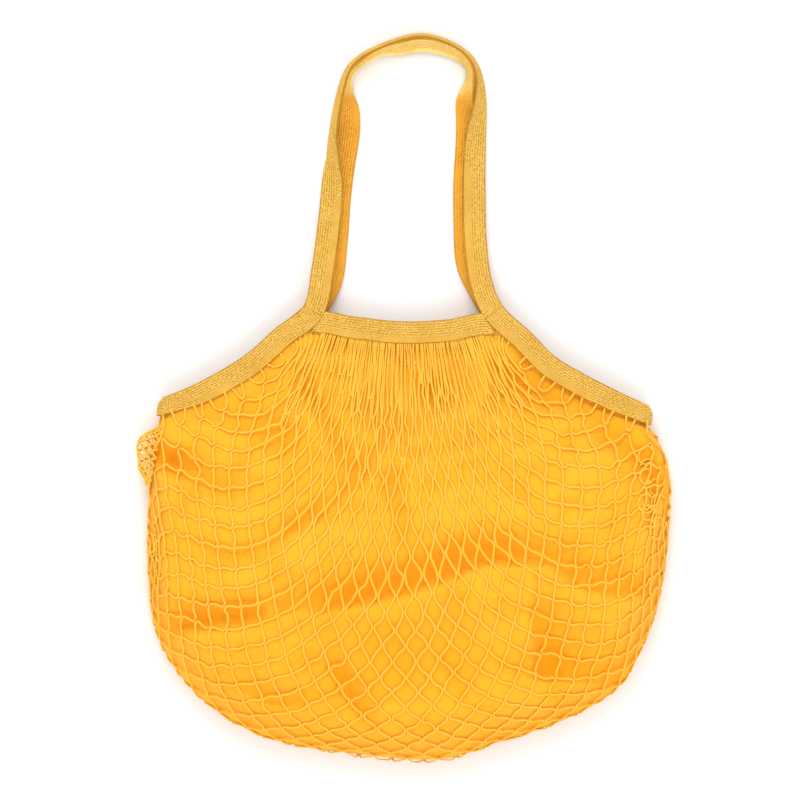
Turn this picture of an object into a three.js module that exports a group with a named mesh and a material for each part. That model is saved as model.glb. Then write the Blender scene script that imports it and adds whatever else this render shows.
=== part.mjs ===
// A lined net shopping bag, lying on its back with its front up and its mouth towards +Y.
// Millimetres, +Z up. The origin is on the floor, under the middle of the bag's box.
//
// The bag is a net pouch over a cotton lining. Both hang from one knitted tape, which binds the
// sides of the mouth and runs on into the two long handles, and from a short band of the same
// tape at the front and at the back of the mouth.
import * as THREE from "three";

// ---- Driving dimensions -------------------------------------------------------------------

const TAPE_WIDTH = 16.6;
const TAPE_THICKNESS = 2.4;
const NET_THICKNESS = 2.2;
const LINING_THICKNESS = 1.2;
const LAYER_GAP = 0.5; // between the net and the lining
const EDGE_GAP = 0.5; // between a tape and the edge that it holds
const TAPE_END_GAP = 0.4; // between one length of tape and the next

const RIM_HEIGHT = 15; // the pouch is widest at this height above the floor
const MOUTH_LIFT = 7; // the front edge of the mouth, above the rim
const MOUTH_DROP = 11; // the back edge of the mouth, below the rim
const CORNER_DROP = 7; // the same at the two corners, where the tape turns back under
const BULGE = 43; // how far the filled front stands above the rim at most
const FULL_LENGTH = 330; // from mouth to bottom, where the bulge is full
const BACK_ROUNDING = 30; // the back curves down to the floor within this distance of the rim
const CORNER_ROUNDING = 0.035; // share of the mouth edge taken by the turn at each corner

// The mouth's edge in plan from the left corner to the right one, at equal steps. The fourth
// point from each end is where the tape leaves the pouch and becomes a handle.
const MOUTH_EDGE = [
  [-172.5, -19.5],
  [-146, -3.5],
  [-107, 20],
  [-70.8, 49.4],
  [-40, 45.2],
  [-3, 40.8],
  [34, 42.4],
  [68.8, 47.8],
  [103, 17.5],
  [143, -5],
  [178.5, -20.5],
];

// The pouch's outline in plan below the corners, from left to right.
const RIM = [
  [-183, -25],
  [-200.5, -45],
  [-193, -88],
  [-192.5, -136],
  [-185, -182],
  [-157, -223],
  [-112, -253],
  [-52, -267.5],
  [20, -274.5],
  [68, -261],
  [123, -242],
  [163, -217],
  [184, -178],
  [195, -138],
  [200, -92],
  [200.5, -56],
  [186, -24.5],
];

// Folds of the lining that show on the front: a route in plan, the fold's depth and half its width.
const FOLDS = [
  { route: [[-153, -164], [-108, -157], [-8, -136], [67, -116], [100, -116]], depth: 8, reach: 13 },
  { route: [[117, -127], [185, -143]], depth: 6, reach: 12 },
  { route: [[-185, -44], [-138, -67]], depth: 6, reach: 12 },
  { route: [[-63, -16], [-39, -52], [-73, -101], [-104, -150]], depth: 4, reach: 13 },
  { route: [[90, 5], [147, -20], [190, -61]], depth: 5, reach: 13 },
];

// The handles' routes: x, y, the height of the tape's middle, and its lean in degrees. At 0 the
// tape lies flat; at 90 it stands on its edge with the outer edge up, at -90 with it down.
const FRONT_HANDLE = [
  [-68, 65, 20.9, 0],
  [-61, 97, 15, 0],
  [-56, 135, 7.5, 0],
  [-54, 158, 5.4, -12],
  [-53.5, 178, 8.6, -55],
  [-54, 197, 9.8, -77],
  [-50, 222, 10, -80],
  [-43, 245, 10, -80],
  [-32, 256.5, 10, -80],
  [-14, 265.5, 10, -80],
  [3, 271, 10, -80],
  [15, 272.1, 10, -80],
  [28, 269.2, 10, -80],
  [41, 263, 10, -80],
  [51, 254, 10, -78],
  [56.5, 240, 9.8, -74],
  [57, 222, 9, -58],
  [54.5, 202, 7, -32],
  [53, 180, 5.2, -6],
  [53, 150, 5.4, 0],
  [53.5, 122, 9.5, 0],
  [57.5, 88, 16.5, 0],
  [67.5, 64, 20.9, 0],
];
const BACK_HANDLE = [
  [67.5, 64, 5.1, 0],
  [53.5, 87, 3.2, 0],
  [47, 104, 1.8, 0],
  [45.5, 132, 1.4, 0],
  [45.5, 163, 1.4, 0],
  [47, 188, 1.4, 0],
  [47.6, 208, 2.6, 6],
  [46.2, 222, 6.3, 36],
  [47.5, 236, 9.4, 68],
  [47.5, 246, 9.6, 75],
  [40, 255, 9.4, 67],
  [27, 260.5, 9.2, 64],
  [13, 262.8, 9.2, 63],
  [-3, 260.2, 9.2, 66],
  [-17, 257.5, 9.6, 76],
  [-30, 249.5, 9.8, 82],
  [-38.5, 241, 9.6, 78],
  [-41, 228, 8.6, 62],
  [-41, 213, 4.6, 22],
  [-42, 196, 1.8, 0],
  [-46, 170, 1.5, 0],
  [-48.5, 148, 1.4, 0],
  [-51, 119, 1.6, 0],
  [-56.5, 88, 3, 0],
  [-68, 65, 5.1, 0],
];

// The mouth bands' upper edge in plan, from left to right, and the stretch of the mouth edge that
// their lower edge follows.
const BAND_UPPER = [[-58.6, 62.4], [-37, 60], [-3, 57], [30, 58], [57.4, 61.4]];
const BAND_START = 0.308;
const BAND_END = 0.692;

// How finely the shapes are divided.
const POUCH_COLUMNS = 34;
const POUCH_ROWS = 16;
const TAPE_STEPS = 2; // per point of a tape's route
const BAND_STEPS = 16;
const BINDING_STOPS = [0.26, 0.2, 0.14, 0.085, 0.035, 0.012]; // along the mouth edge
const TURN_STOPS = [30, 60, 90, 120, 150]; // degrees round the corner

// ---- Materials ----------------------------------------------------------------------------

const tapeMaterial = new THREE.MeshStandardMaterial({ color: 0xe8b85a, roughness: 0.9, metalness: 0 });
const netMaterial = new THREE.MeshStandardMaterial({ color: 0xfbc34a, roughness: 0.85, metalness: 0 });
const liningMaterial = new THREE.MeshStandardMaterial({ color: 0xf9b42c, roughness: 0.9, metalness: 0 });

// ---- Helpers ------------------------------------------------------------------------------

const clamp01 = (x) => Math.min(Math.max(x, 0), 1);
const mix = (a, b, t) => a + (b - a) * t;
// 0 at the rim, rising like a quarter circle to 1.
const rounding = (t) => Math.sqrt(1 - (1 - clamp01(t)) ** 2);

function smoothCurve(points) {
  const vectors = points.map(([x, y, z = 0]) => new THREE.Vector3(x, y, z));
  return new THREE.CatmullRomCurve3(vectors, false, "catmullrom", 0.5);
}

const closedCurve = (vectors) => new THREE.CatmullRomCurve3(vectors, true, "catmullrom", 0.5);

function meshOf(name, positions, triangles, material) {
  const geometry = new THREE.BufferGeometry();
  geometry.setAttribute("position", new THREE.Float32BufferAttribute(positions, 3));
  geometry.setIndex(triangles);
  geometry.computeVertexNormals();
  const mesh = new THREE.Mesh(geometry, material);
  mesh.name = name;
  return mesh;
}

// ---- The pouch's outer surface ------------------------------------------------------------

const mouthEdge = smoothCurve(MOUTH_EDGE);
const rim = smoothCurve(RIM);

// 0 at the two ends of the mouth edge, 1 along the rest of it.
const cornerRounding = (u) => rounding(Math.min(u, 1 - u) / CORNER_ROUNDING);

// 0 at the corners of the mouth, 1 at its bands.
function towardsBand(u) {
  return THREE.MathUtils.smoothstep(Math.min(u, 1 - u), 0.02, 0.3);
}

function distanceToRoute(x, y, route) {
  const point = new THREE.Vector2(x, y);
  let nearest = Infinity;
  for (let i = 1; i < route.length; i++) {
    const start = new THREE.Vector2(...route[i - 1]);
    const along = new THREE.Vector2(...route[i]).sub(start);
    const t = clamp01(point.clone().sub(start).dot(along) / along.lengthSq());
    nearest = Math.min(nearest, point.distanceTo(start.add(along.multiplyScalar(t))));
  }
  return nearest;
}

function foldDepth(x, y) {
  let depth = 0;
  for (const fold of FOLDS) {
    const d = distanceToRoute(x, y, fold.route) / fold.reach;
    depth += fold.depth * Math.exp(-d * d);
  }
  return depth;
}

// A point of the outer surface: u runs along the mouth from the left corner to the right one,
// v from the mouth to the rim, and front picks the upper or the lower side.
function pouchPoint(u, v, front) {
  const top = mouthEdge.getPoint(u);
  const bottom = rim.getPoint(u);
  const length = top.distanceTo(bottom);
  const x = mix(top.x, bottom.x, v);
  const y = mix(top.y, bottom.y, v);
  const nearRim = Math.sqrt(1 - v);
  const round = cornerRounding(u);
  if (!front) {
    const edge = mix(CORNER_DROP, MOUTH_DROP, towardsBand(u));
    const depth = mix(edge, RIM_HEIGHT, clamp01((v * length) / 40));
    const reach = Math.min(BACK_ROUNDING, length);
    return new THREE.Vector3(x, y, RIM_HEIGHT - round * depth * rounding(((1 - v) * length) / reach));
  }
  const lift = MOUTH_LIFT * nearRim;
  // v^0.9 sqrt(1 - v) peaks at 0.4015, so this swells to 1 at about two thirds of the way down.
  const swell = (v ** 0.9 * nearRim) / 0.4015;
  const bulge = BULGE * (length / FULL_LENGTH) ** 0.6 * swell;
  const inside = rounding(Math.min(v, 1 - v) * 4) * clamp01(length / 120);
  return new THREE.Vector3(x, y, RIM_HEIGHT + round * (lift + bulge - inside * foldDepth(x, y)));
}

// The outer surface as points and triangles. Its front and back share the points of the rim and
// of the two lines that run down from the corners, so it is one sheet that is open at the mouth.
function pouchSheet() {
  const points = [];
  const index = { true: [], false: [] };
  const columns = Array.from({ length: POUCH_COLUMNS + 1 }, (_, i) => {
    const t = i / POUCH_COLUMNS;
    return mix(t, (1 - Math.cos(Math.PI * t)) / 2, 0.6); // closer together at the corners
  });
  const rows = Array.from({ length: POUCH_ROWS + 1 }, (_, j) => 1 - (1 - j / POUCH_ROWS) ** 1.5);
  for (const front of [true, false])
    columns.forEach((u, i) => {
      index[front].push([]);
      rows.forEach((v, j) => {
        const shared = i === 0 || i === POUCH_COLUMNS || j === POUCH_ROWS;
        if (!front && shared) {
          index[front][i].push(index[true][i][j]);
          return;
        }
        index[front][i].push(points.length);
        points.push(pouchPoint(u, v, front));
      });
    });
  const triangles = [];
  for (const front of [true, false])
    for (let i = 0; i < POUCH_COLUMNS; i++)
      for (let j = 0; j < POUCH_ROWS; j++) {
        const grid = index[front];
        const [a, b] = [grid[i][j], grid[i][j + 1]];
        const [c, d] = [grid[i + 1][j + 1], grid[i + 1][j]];
        if (front) triangles.push([a, b, c], [a, c, d]);
        else triangles.push([a, c, b], [a, d, c]);
      }
  const frontEdge = index[true].map((column) => column[0]);
  const backEdge = index[false].map((column) => column[0]);
  return { points, triangles, frontEdge, backEdge };
}

function sheetNormals({ points, triangles }) {
  const normals = points.map(() => new THREE.Vector3());
  for (const [a, b, c] of triangles) {
    const ab = points[b].clone().sub(points[a]);
    const ac = points[c].clone().sub(points[a]);
    const face = ab.cross(ac);
    for (const corner of [a, b, c]) normals[corner].add(face);
  }
  return normals.map((normal) => normal.normalize());
}

// A layer of the pouch: a closed shell between two depths under the outer surface.
function pouchLayer(name, sheet, normals, outerDepth, innerDepth, material) {
  const at = (depth) => sheet.points.map((p, i) => p.clone().addScaledVector(normals[i], -depth));
  const positions = [...at(outerDepth), ...at(innerDepth)].flatMap((p) => p.toArray());
  const inner = sheet.points.length;
  const triangles = [];
  for (const [a, b, c] of sheet.triangles) triangles.push(a, b, c, inner + a, inner + c, inner + b);
  for (let i = 0; i < POUCH_COLUMNS; i++) {
    const [a, b] = [sheet.frontEdge[i], sheet.frontEdge[i + 1]];
    triangles.push(a, b, inner + b, a, inner + b, inner + a);
    const [c, d] = [sheet.backEdge[i], sheet.backEdge[i + 1]];
    triangles.push(c, inner + d, d, c, inner + c, inner + d);
  }
  return meshOf(name, positions, triangles, material);
}

// ---- Tapes --------------------------------------------------------------------------------

// Half of the tape's section, as shares of half its width and half its thickness. The tape is
// folded, so its edges are round.
const TAPE_SECTION = [[1, 0], [0.88, 1], [-0.88, 1], [-1, 0], [-0.88, -1], [0.88, -1]];

// A closed strip through stations, each with its middle and the vector to its outer edge.
function strip(name, stations, material) {
  const positions = [];
  const triangles = [];
  const sides = TAPE_SECTION.length;
  stations.forEach(({ middle, toEdge }, i) => {
    const ahead = stations[Math.min(i + 1, stations.length - 1)].middle;
    const behind = stations[Math.max(i - 1, 0)].middle;
    const up = ahead.clone().sub(behind).cross(toEdge).normalize();
    for (const [across, over] of TAPE_SECTION) {
      const corner = middle.clone().addScaledVector(toEdge, across);
      positions.push(...corner.addScaledVector(up, (over * TAPE_THICKNESS) / 2).toArray());
    }
    if (i === 0) return;
    for (let k = 0; k < sides; k++) {
      const a = (i - 1) * sides + k;
      const b = (i - 1) * sides + ((k + 1) % sides);
      triangles.push(a, b, b + sides, a, b + sides, a + sides);
    }
  });
  const last = (stations.length - 1) * sides;
  for (let k = 1; k < sides - 1; k++) triangles.push(0, k + 1, k, last, last + k, last + k + 1);
  return meshOf(name, positions, triangles, material);
}

// The whole loop of tape is one closed route, cut into lengths: from one of its points to another.
function tapeLength(name, loop, first, last) {
  const middles = closedCurve(loop.map((point) => point.middle));
  const outwards = closedCurve(loop.map((point) => point.outward));
  const steps = (last - first) * TAPE_STEPS;
  const stations = Array.from({ length: steps + 1 }, (_, i) => {
    const t = (first + i / TAPE_STEPS) / loop.length;
    const along = middles.getTangent(t);
    const middle = middles.getPoint(t);
    if (i === 0) middle.addScaledVector(along, TAPE_END_GAP / 2);
    if (i === steps) middle.addScaledVector(along, -TAPE_END_GAP / 2);
    const outward = outwards.getPoint(t);
    const toEdge = outward.addScaledVector(along, -outward.dot(along)).setLength(TAPE_WIDTH / 2);
    return { middle, toEdge };
  });
  return strip(name, stations, tapeMaterial);
}

// The handle's points as route points. side is 1 where the outer edge is left of the route's
// direction and -1 where it is right of it.
function handleRoute(points, side) {
  return points.map(([x, y, z, lean], i) => {
    const [ax, ay] = points[Math.min(i + 1, points.length - 1)];
    const [bx, by] = points[Math.max(i - 1, 0)];
    const outward = new THREE.Vector3(-(ay - by), ax - bx, 0).normalize();
    outward.multiplyScalar(side * Math.cos(THREE.MathUtils.degToRad(lean)));
    outward.z = Math.sin(THREE.MathUtils.degToRad(lean));
    return { middle: new THREE.Vector3(x, y, z), outward };
  });
}

// A point at some distance outside the mouth edge in plan, and the direction outwards there.
function mouthPoint(u, distance) {
  const along = mouthEdge.getTangent(u);
  const outward = new THREE.Vector3(-along.y, along.x, 0).normalize();
  return { point: mouthEdge.getPoint(u).addScaledVector(outward, distance), outward };
}

// The binding down one side of the mouth, round its corner and back underneath, without the
// points where the handles take over.
function bindingRoute(isLeft) {
  const half = NET_THICKNESS / 2;
  const edgePoint = (stop, front) => {
    const u = isLeft ? stop : 1 - stop;
    const { point, outward } = mouthPoint(u, TAPE_WIDTH / 2 + EDGE_GAP);
    const up = front ? 1 : -1;
    const edge = stop < CORNER_ROUNDING ? RIM_HEIGHT + up * CORNER_DROP : pouchPoint(u, 0, front).z;
    return { middle: point.setZ(edge - up * half), outward };
  };
  const front = BINDING_STOPS.map((stop) => edgePoint(stop, true));
  const back = BINDING_STOPS.map((stop) => edgePoint(stop, false)).reverse();
  const corner = front[front.length - 1];
  const radius = CORNER_DROP - half;
  const away = new THREE.Vector3(corner.outward.y, -corner.outward.x, 0).multiplyScalar(isLeft ? -1 : 1);
  const turn = TURN_STOPS.map((degrees) => {
    const angle = THREE.MathUtils.degToRad(degrees);
    const middle = corner.middle.clone().addScaledVector(away, radius * Math.sin(angle));
    return { middle: middle.setZ(RIM_HEIGHT + radius * Math.cos(angle)), outward: corner.outward };
  });
  return [...front, ...turn, ...back];
}

function band(name, height) {
  const upper = smoothCurve(BAND_UPPER);
  const stations = Array.from({ length: BAND_STEPS + 1 }, (_, i) => {
    const t = i / BAND_STEPS;
    const low = mouthPoint(mix(BAND_START, BAND_END, t), EDGE_GAP).point;
    const middle = low.clone().add(upper.getPoint(t)).multiplyScalar(0.5);
    const toEdge = middle.clone().sub(low);
    return { middle: middle.setZ(height), toEdge };
  });
  return strip(name, stations, tapeMaterial);
}

// ---- The bag ------------------------------------------------------------------------------

const bag = new THREE.Group();

const sheet = pouchSheet();
const normals = sheetNormals(sheet);
const liningDepth = NET_THICKNESS + LAYER_GAP;
bag.add(pouchLayer("net", sheet, normals, 0, NET_THICKNESS, netMaterial));
bag.add(pouchLayer("lining", sheet, normals, liningDepth, liningDepth + LINING_THICKNESS, liningMaterial));

const parts = [
  { name: "front_handle", route: handleRoute(FRONT_HANDLE, 1) },
  { name: "right_side_binding", route: bindingRoute(false) },
  { name: "back_handle", route: handleRoute(BACK_HANDLE, -1) },
  { name: "left_side_binding", route: bindingRoute(true).reverse() },
];
const loop = parts.flatMap((part) => part.route);
let start = 0;
for (const { name, route } of parts) {
  // A handle ends at its own last point. A binding reaches from one handle's end to the next's.
  const isHandle = name.endsWith("handle");
  const first = isHandle ? start : start - 1;
  const last = isHandle ? start + route.length - 1 : start + route.length;
  bag.add(tapeLength(name, loop, first, last));
  start += route.length;
}

bag.add(band("front_mouth_band", RIM_HEIGHT + MOUTH_LIFT - NET_THICKNESS / 2));
bag.add(band("back_mouth_band", RIM_HEIGHT - MOUTH_DROP + NET_THICKNESS / 2));

export default bag;
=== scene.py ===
# %% [markdown]
# # A lined net shopping bag
# The bag lies on its back, front up. It is a knitted net over a cotton lining, and both hang
# from one long knitted tape that binds the mouth and runs on into the two handles.
# The solids of the bag are loaded first. They fix where everything is, and the pieces made
# below are built on the same numbers, in millimetres, and scaled to metres at the end.

import bpy
import numpy as np
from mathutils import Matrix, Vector, noise
from mathutils.bvhtree import BVHTree


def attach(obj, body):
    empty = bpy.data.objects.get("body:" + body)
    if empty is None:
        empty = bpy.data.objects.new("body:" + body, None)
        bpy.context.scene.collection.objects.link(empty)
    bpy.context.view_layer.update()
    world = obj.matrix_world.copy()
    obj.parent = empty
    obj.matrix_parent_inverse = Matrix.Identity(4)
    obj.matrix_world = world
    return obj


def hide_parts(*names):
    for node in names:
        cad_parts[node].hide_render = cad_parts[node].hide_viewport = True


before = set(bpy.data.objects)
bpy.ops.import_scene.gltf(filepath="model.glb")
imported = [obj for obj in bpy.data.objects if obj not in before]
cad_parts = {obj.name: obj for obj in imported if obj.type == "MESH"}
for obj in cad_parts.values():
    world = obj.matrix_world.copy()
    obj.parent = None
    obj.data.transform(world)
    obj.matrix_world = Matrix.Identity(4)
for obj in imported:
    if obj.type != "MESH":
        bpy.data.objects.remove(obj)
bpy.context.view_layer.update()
MM = 0.001
print("nodes:", sorted(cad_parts))

# %% [markdown]
# ## The camera
# The bag is seen from straight above. A long lens from far away keeps the perspective weak, so
# the near front of the pouch isn't drawn larger than its outline. The lens follows from
# the width of the view by similar triangles, so the framing is exact without any trial.

# %% Set up the camera
VIEW_WIDTH = 0.6
VIEW_CENTRE = (-0.003, -0.0015)
RIM_LEVEL = 0.015
CAMERA_DISTANCE = 4.0
SENSOR = 36.0

lens_data = bpy.data.cameras.new("camera")
lens_data.sensor_width = SENSOR
lens_data.lens = SENSOR * CAMERA_DISTANCE / VIEW_WIDTH
lens_data.clip_end = 50.0
camera = bpy.data.objects.new("camera", lens_data)
camera.location = (*VIEW_CENTRE, RIM_LEVEL + CAMERA_DISTANCE)
bpy.context.scene.collection.objects.link(camera)
bpy.context.scene.camera = camera
bpy.context.scene.view_settings.view_transform = "Standard"
print("lens:", round(lens_data.lens), "mm")

# %% [markdown]
# ## The light
# In a white studio two very large soft lights stand beyond the handles and beyond the bottom of
# the pouch, and the room fills the rest. Large area lights give soft shading in the folds.
# A bright world does the filling, because it reaches every fold evenly.

# %% Set up the lights
ROOM_LIGHT = 0.92
LIGHTS = [
    # name, place, size, watts
    ("key", (-0.3, 2.1, 1.9), 1.5, 32.0),
    ("fill", (0.3, -2.0, 2.2), 2.0, 27.0),
]

world = bpy.data.worlds.new("room")
world.use_nodes = True
world.node_tree.nodes["Background"].inputs["Color"].default_value = (1, 1, 1, 1)
world.node_tree.nodes["Background"].inputs["Strength"].default_value = ROOM_LIGHT
bpy.context.scene.world = world
for name, place, size, watts in LIGHTS:
    light_data = bpy.data.lights.new(name, "AREA")
    light_data.size = size
    light_data.energy = watts
    light = bpy.data.objects.new(name, light_data)
    light.location = place
    light.rotation_mode = "QUATERNION"
    light.rotation_quaternion = Vector(place).to_track_quat("Z", "Y")
    bpy.context.scene.collection.objects.link(light)
    print(name, "light,", watts, "W")

# %% [markdown]
# ## Making materials
# Each finish is a small network of shader nodes. Writing every link by hand takes many lines,
# so short helpers do it. One adds a node with its settings and one starts a material. The
# others add the sums, waves, noises and blends that the three cloths share.
# An input that is another node's socket is linked, and a plain value is set on the socket.

# %% Helpers for materials
def add_node(tree, kind, inputs=(), **settings):
    node = tree.nodes.new("ShaderNode" + kind)
    for name, value in settings.items():
        setattr(node, name, value)
    for key, value in dict(inputs).items():
        if isinstance(value, bpy.types.NodeSocket):
            tree.links.new(value, node.inputs[key])
        else:
            node.inputs[key].default_value = value
    return node


def start_material(name, **numbers):
    material = bpy.data.materials.new(name)
    material.use_nodes = True
    tree = material.node_tree
    shader = tree.nodes["Principled BSDF"]
    for socket, value in numbers.items():
        shader.inputs[socket.replace("_", " ")].default_value = value
    return material, tree, shader


def calculate(tree, operation, *values):
    return add_node(tree, "Math", dict(enumerate(values)), operation=operation).outputs[0]


def sine(tree, value, turns_per_unit, turn=0.0):
    angle = calculate(tree, "MULTIPLY_ADD", value, 2 * np.pi * turns_per_unit, turn)
    return calculate(tree, "SINE", angle)


def noise_value(tree, place, scale, detail=2.0):
    return add_node(tree, "TexNoise", {"Vector": place, "Scale": scale, "Detail": detail}).outputs[0]


def blend_colours(tree, share, first, second):
    node = add_node(tree, "Mix", {0: share, 6: first, 7: second}, data_type="RGBA")
    return node.outputs[2]


def spread(tree, value, low, high):
    node = add_node(tree, "MapRange", {0: value, 1: low, 2: high}, interpolation_type="SMOOTHSTEP")
    return node.outputs[0]


def cloth_places(tree):
    # The first result is along and across the cloth, the second is in the bag's own frame.
    cloth_uv = add_node(tree, "UVMap", uv_map="cloth").outputs[0]
    axes = add_node(tree, "SeparateXYZ", {0: cloth_uv}).outputs
    return axes, add_node(tree, "TexCoord").outputs["Object"]


def finish_material(tree, shader, colour, relief, strength, depth):
    tree.links.new(colour, shader.inputs["Base Color"])
    bump = add_node(tree, "Bump", {"Strength": strength, "Distance": depth, "Height": relief})
    tree.links.new(bump.outputs[0], shader.inputs["Normal"])


print("material helpers ready")

# %% [markdown]
# ## The floor
# A plain pale floor catches a faint shadow, so the bag looks laid down and not cut out.

# %% Lay the floor
FLOOR_REACH = 4.0
FLOOR_GAP = 0.0004
FLOOR_GREY, FLOOR_WHITE = (0.93, 0.93, 0.93, 1), (0.97, 0.97, 0.97, 1)

material, tree, shader = start_material("pale_floor", Roughness=0.9)
grain = add_node(tree, "TexNoise", {"Scale": 9.0, "Detail": 3.0})
colour = blend_colours(tree, grain.outputs[0], FLOOR_GREY, FLOOR_WHITE)
tree.links.new(colour, shader.inputs["Base Color"])
floor_mesh = bpy.data.meshes.new("floor")
corners = [(x * FLOOR_REACH, y * FLOOR_REACH, 0) for x, y in [(-1, -1), (1, -1), (1, 1), (-1, 1)]]
floor_mesh.from_pydata(corners, [], [(0, 1, 2, 3)])
floor_mesh.materials.append(material)
floor = bpy.data.objects.new("floor", floor_mesh)
floor.location.z = -FLOOR_GAP
bpy.context.scene.collection.objects.link(floor)
print("floor laid")

# %% [markdown]
# ## Smooth curves through points
# Every outline of this bag is a smooth curve through a few points. A Catmull-Rom curve passes
# through its points, which makes it easy to draw with. The curve is worked out for many
# places at once with arrays, because the net asks for thousands of them.

# %% Helper for smooth curves
def smooth_curve(points, t, closed=False):
    points = np.asarray(points, float)
    count = len(points)
    if closed:
        padded = np.vstack([points[-1], points, points[:2]])
        spans = count
        place = (np.asarray(t, float) % 1.0) * spans
    else:
        padded = np.vstack([2 * points[0] - points[1], points, 2 * points[-1] - points[-2]])
        spans = count - 1
        place = np.clip(np.asarray(t, float), 0, 1) * spans
    i = np.minimum(place.astype(int), spans - 1)
    w = (place - i)[..., None]
    a, b, c, d = padded[i], padded[i + 1], padded[i + 2], padded[i + 3]
    out, back = 0.5 * (c - a), 0.5 * (d - b)
    return (2 * b - 2 * c + out + back) * w**3 + (3 * c - 3 * b - 2 * out - back) * w**2 + out * w + b


def mix(a, b, t):
    return a + (b - a) * t


def smooth_step(x, low, high):
    x = np.clip((x - low) / (high - low), 0, 1)
    return x * x * (3 - 2 * x)


def quarter_round(t):
    return np.sqrt(1 - (1 - np.clip(t, 0, 1)) ** 2)


def unit(v):
    return v / np.maximum(np.linalg.norm(v, axis=-1, keepdims=True), 1e-9)


def distance_along(points):
    return np.concatenate([[0], np.cumsum(np.linalg.norm(np.diff(points, axis=0), axis=1))])


print("middle of a test curve:", smooth_curve([(0, 0), (1, 1), (2, 0)], 0.5))

# %% [markdown]
# ## The shape of the pouch
# The real pouch takes its shape from what it hangs on and what fills it. Here it is written
# as one function: `u` runs along the mouth from the left corner to the right one, and `w` runs
# from the front of the mouth (0) down to the rim (1) and back up underneath (2).
# Both the net and the lining are laid on this same surface, so they fit each other.

# %% The pouch surface
MOUTH_EDGE = [
    (-186.5, -15.0), (-146, -3), (-107, 20), (-70.8, 49.4), (-40, 45.2), (-3, 40.8),
    (34, 42.4), (68.8, 47.8), (103, 17.5), (143, -5), (186.5, -21.8),
]  # fmt: skip
RIM = [
    (-187, -24.5), (-190, -48), (-193, -88), (-192.5, -136), (-185, -182), (-157, -223),
    (-112, -253), (-52, -267.5), (20, -274.5), (68, -261), (123, -242), (163, -217),
    (184, -178), (195, -138), (200, -92), (200.5, -57), (190, -26),
]  # fmt: skip
# Heights are in millimetres above the floor, and drops are measured from the rim.
RIM_HEIGHT = 15.0
MOUTH_LIFT = 7.0
MOUTH_DROP, CORNER_DROP = 11.0, 7.0
DROP_GROWS = (0.02, 0.3)  # shares of the mouth, from its corners
FLOOR_REACHED = 40.0  # how far below the mouth the back touches the floor
BULGE, FULL_LENGTH = 43.0, 330.0
SWELL_POWER, SWELL_PEAK = 0.9, 0.4015  # the peak is the largest value of v ** 0.9 * sqrt(1 - v)
BACK_ROUNDING, CORNER_ROUNDING = 30.0, 0.035
FOLDED_LENGTH = 120.0  # where the pouch is shorter than this, its folds fade


def pouch_point(u, w, fold_depth=None):
    u, w = np.broadcast_arrays(np.asarray(u, float), np.asarray(w, float))
    top, bottom = smooth_curve(MOUTH_EDGE, u), smooth_curve(RIM, u)
    length = np.linalg.norm(top - bottom, axis=-1)
    v = np.where(w <= 1, w, 2 - w)
    plan = mix(top, bottom, v[..., None])
    near_rim = np.sqrt(np.clip(1 - v, 0, None))
    end = np.minimum(u, 1 - u)
    corner = quarter_round(end / CORNER_ROUNDING)
    drop = mix(CORNER_DROP, MOUTH_DROP, smooth_step(end, *DROP_GROWS))
    drop = mix(drop, RIM_HEIGHT, np.clip(v * length / FLOOR_REACHED, 0, 1))
    under = RIM_HEIGHT - corner * drop * quarter_round((1 - v) * length / np.minimum(BACK_ROUNDING, length))
    swell = np.clip(v, 0, 1) ** SWELL_POWER * near_rim / SWELL_PEAK
    height = MOUTH_LIFT * near_rim + BULGE * (length / FULL_LENGTH) ** 0.6 * swell
    if fold_depth is not None:
        inside = quarter_round(np.minimum(v, 1 - v) * 4) * np.clip(length / FOLDED_LENGTH, 0, 1)
        height = height - inside * fold_depth(plan[..., 0], plan[..., 1])
    over = RIM_HEIGHT + corner * height
    return np.concatenate([plan, np.where(w <= 1, over, under)[..., None]], -1)


print("top of the pouch, mm:", round(float(pouch_point(0.5, np.linspace(0, 1, 50))[:, 2].max()), 1))

# %% [markdown]
# ## The big folds
# A bag that was packed flat keeps creases, and its lining sags between them. Each fold is a
# route with a depth. Its far side falls away gently and its near side stands up steeply, as a
# crease in cloth does, so that the key light draws a soft dark band with a sharp lower edge.
# The net bridges the folds, so it takes them shallower and softer.

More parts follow.
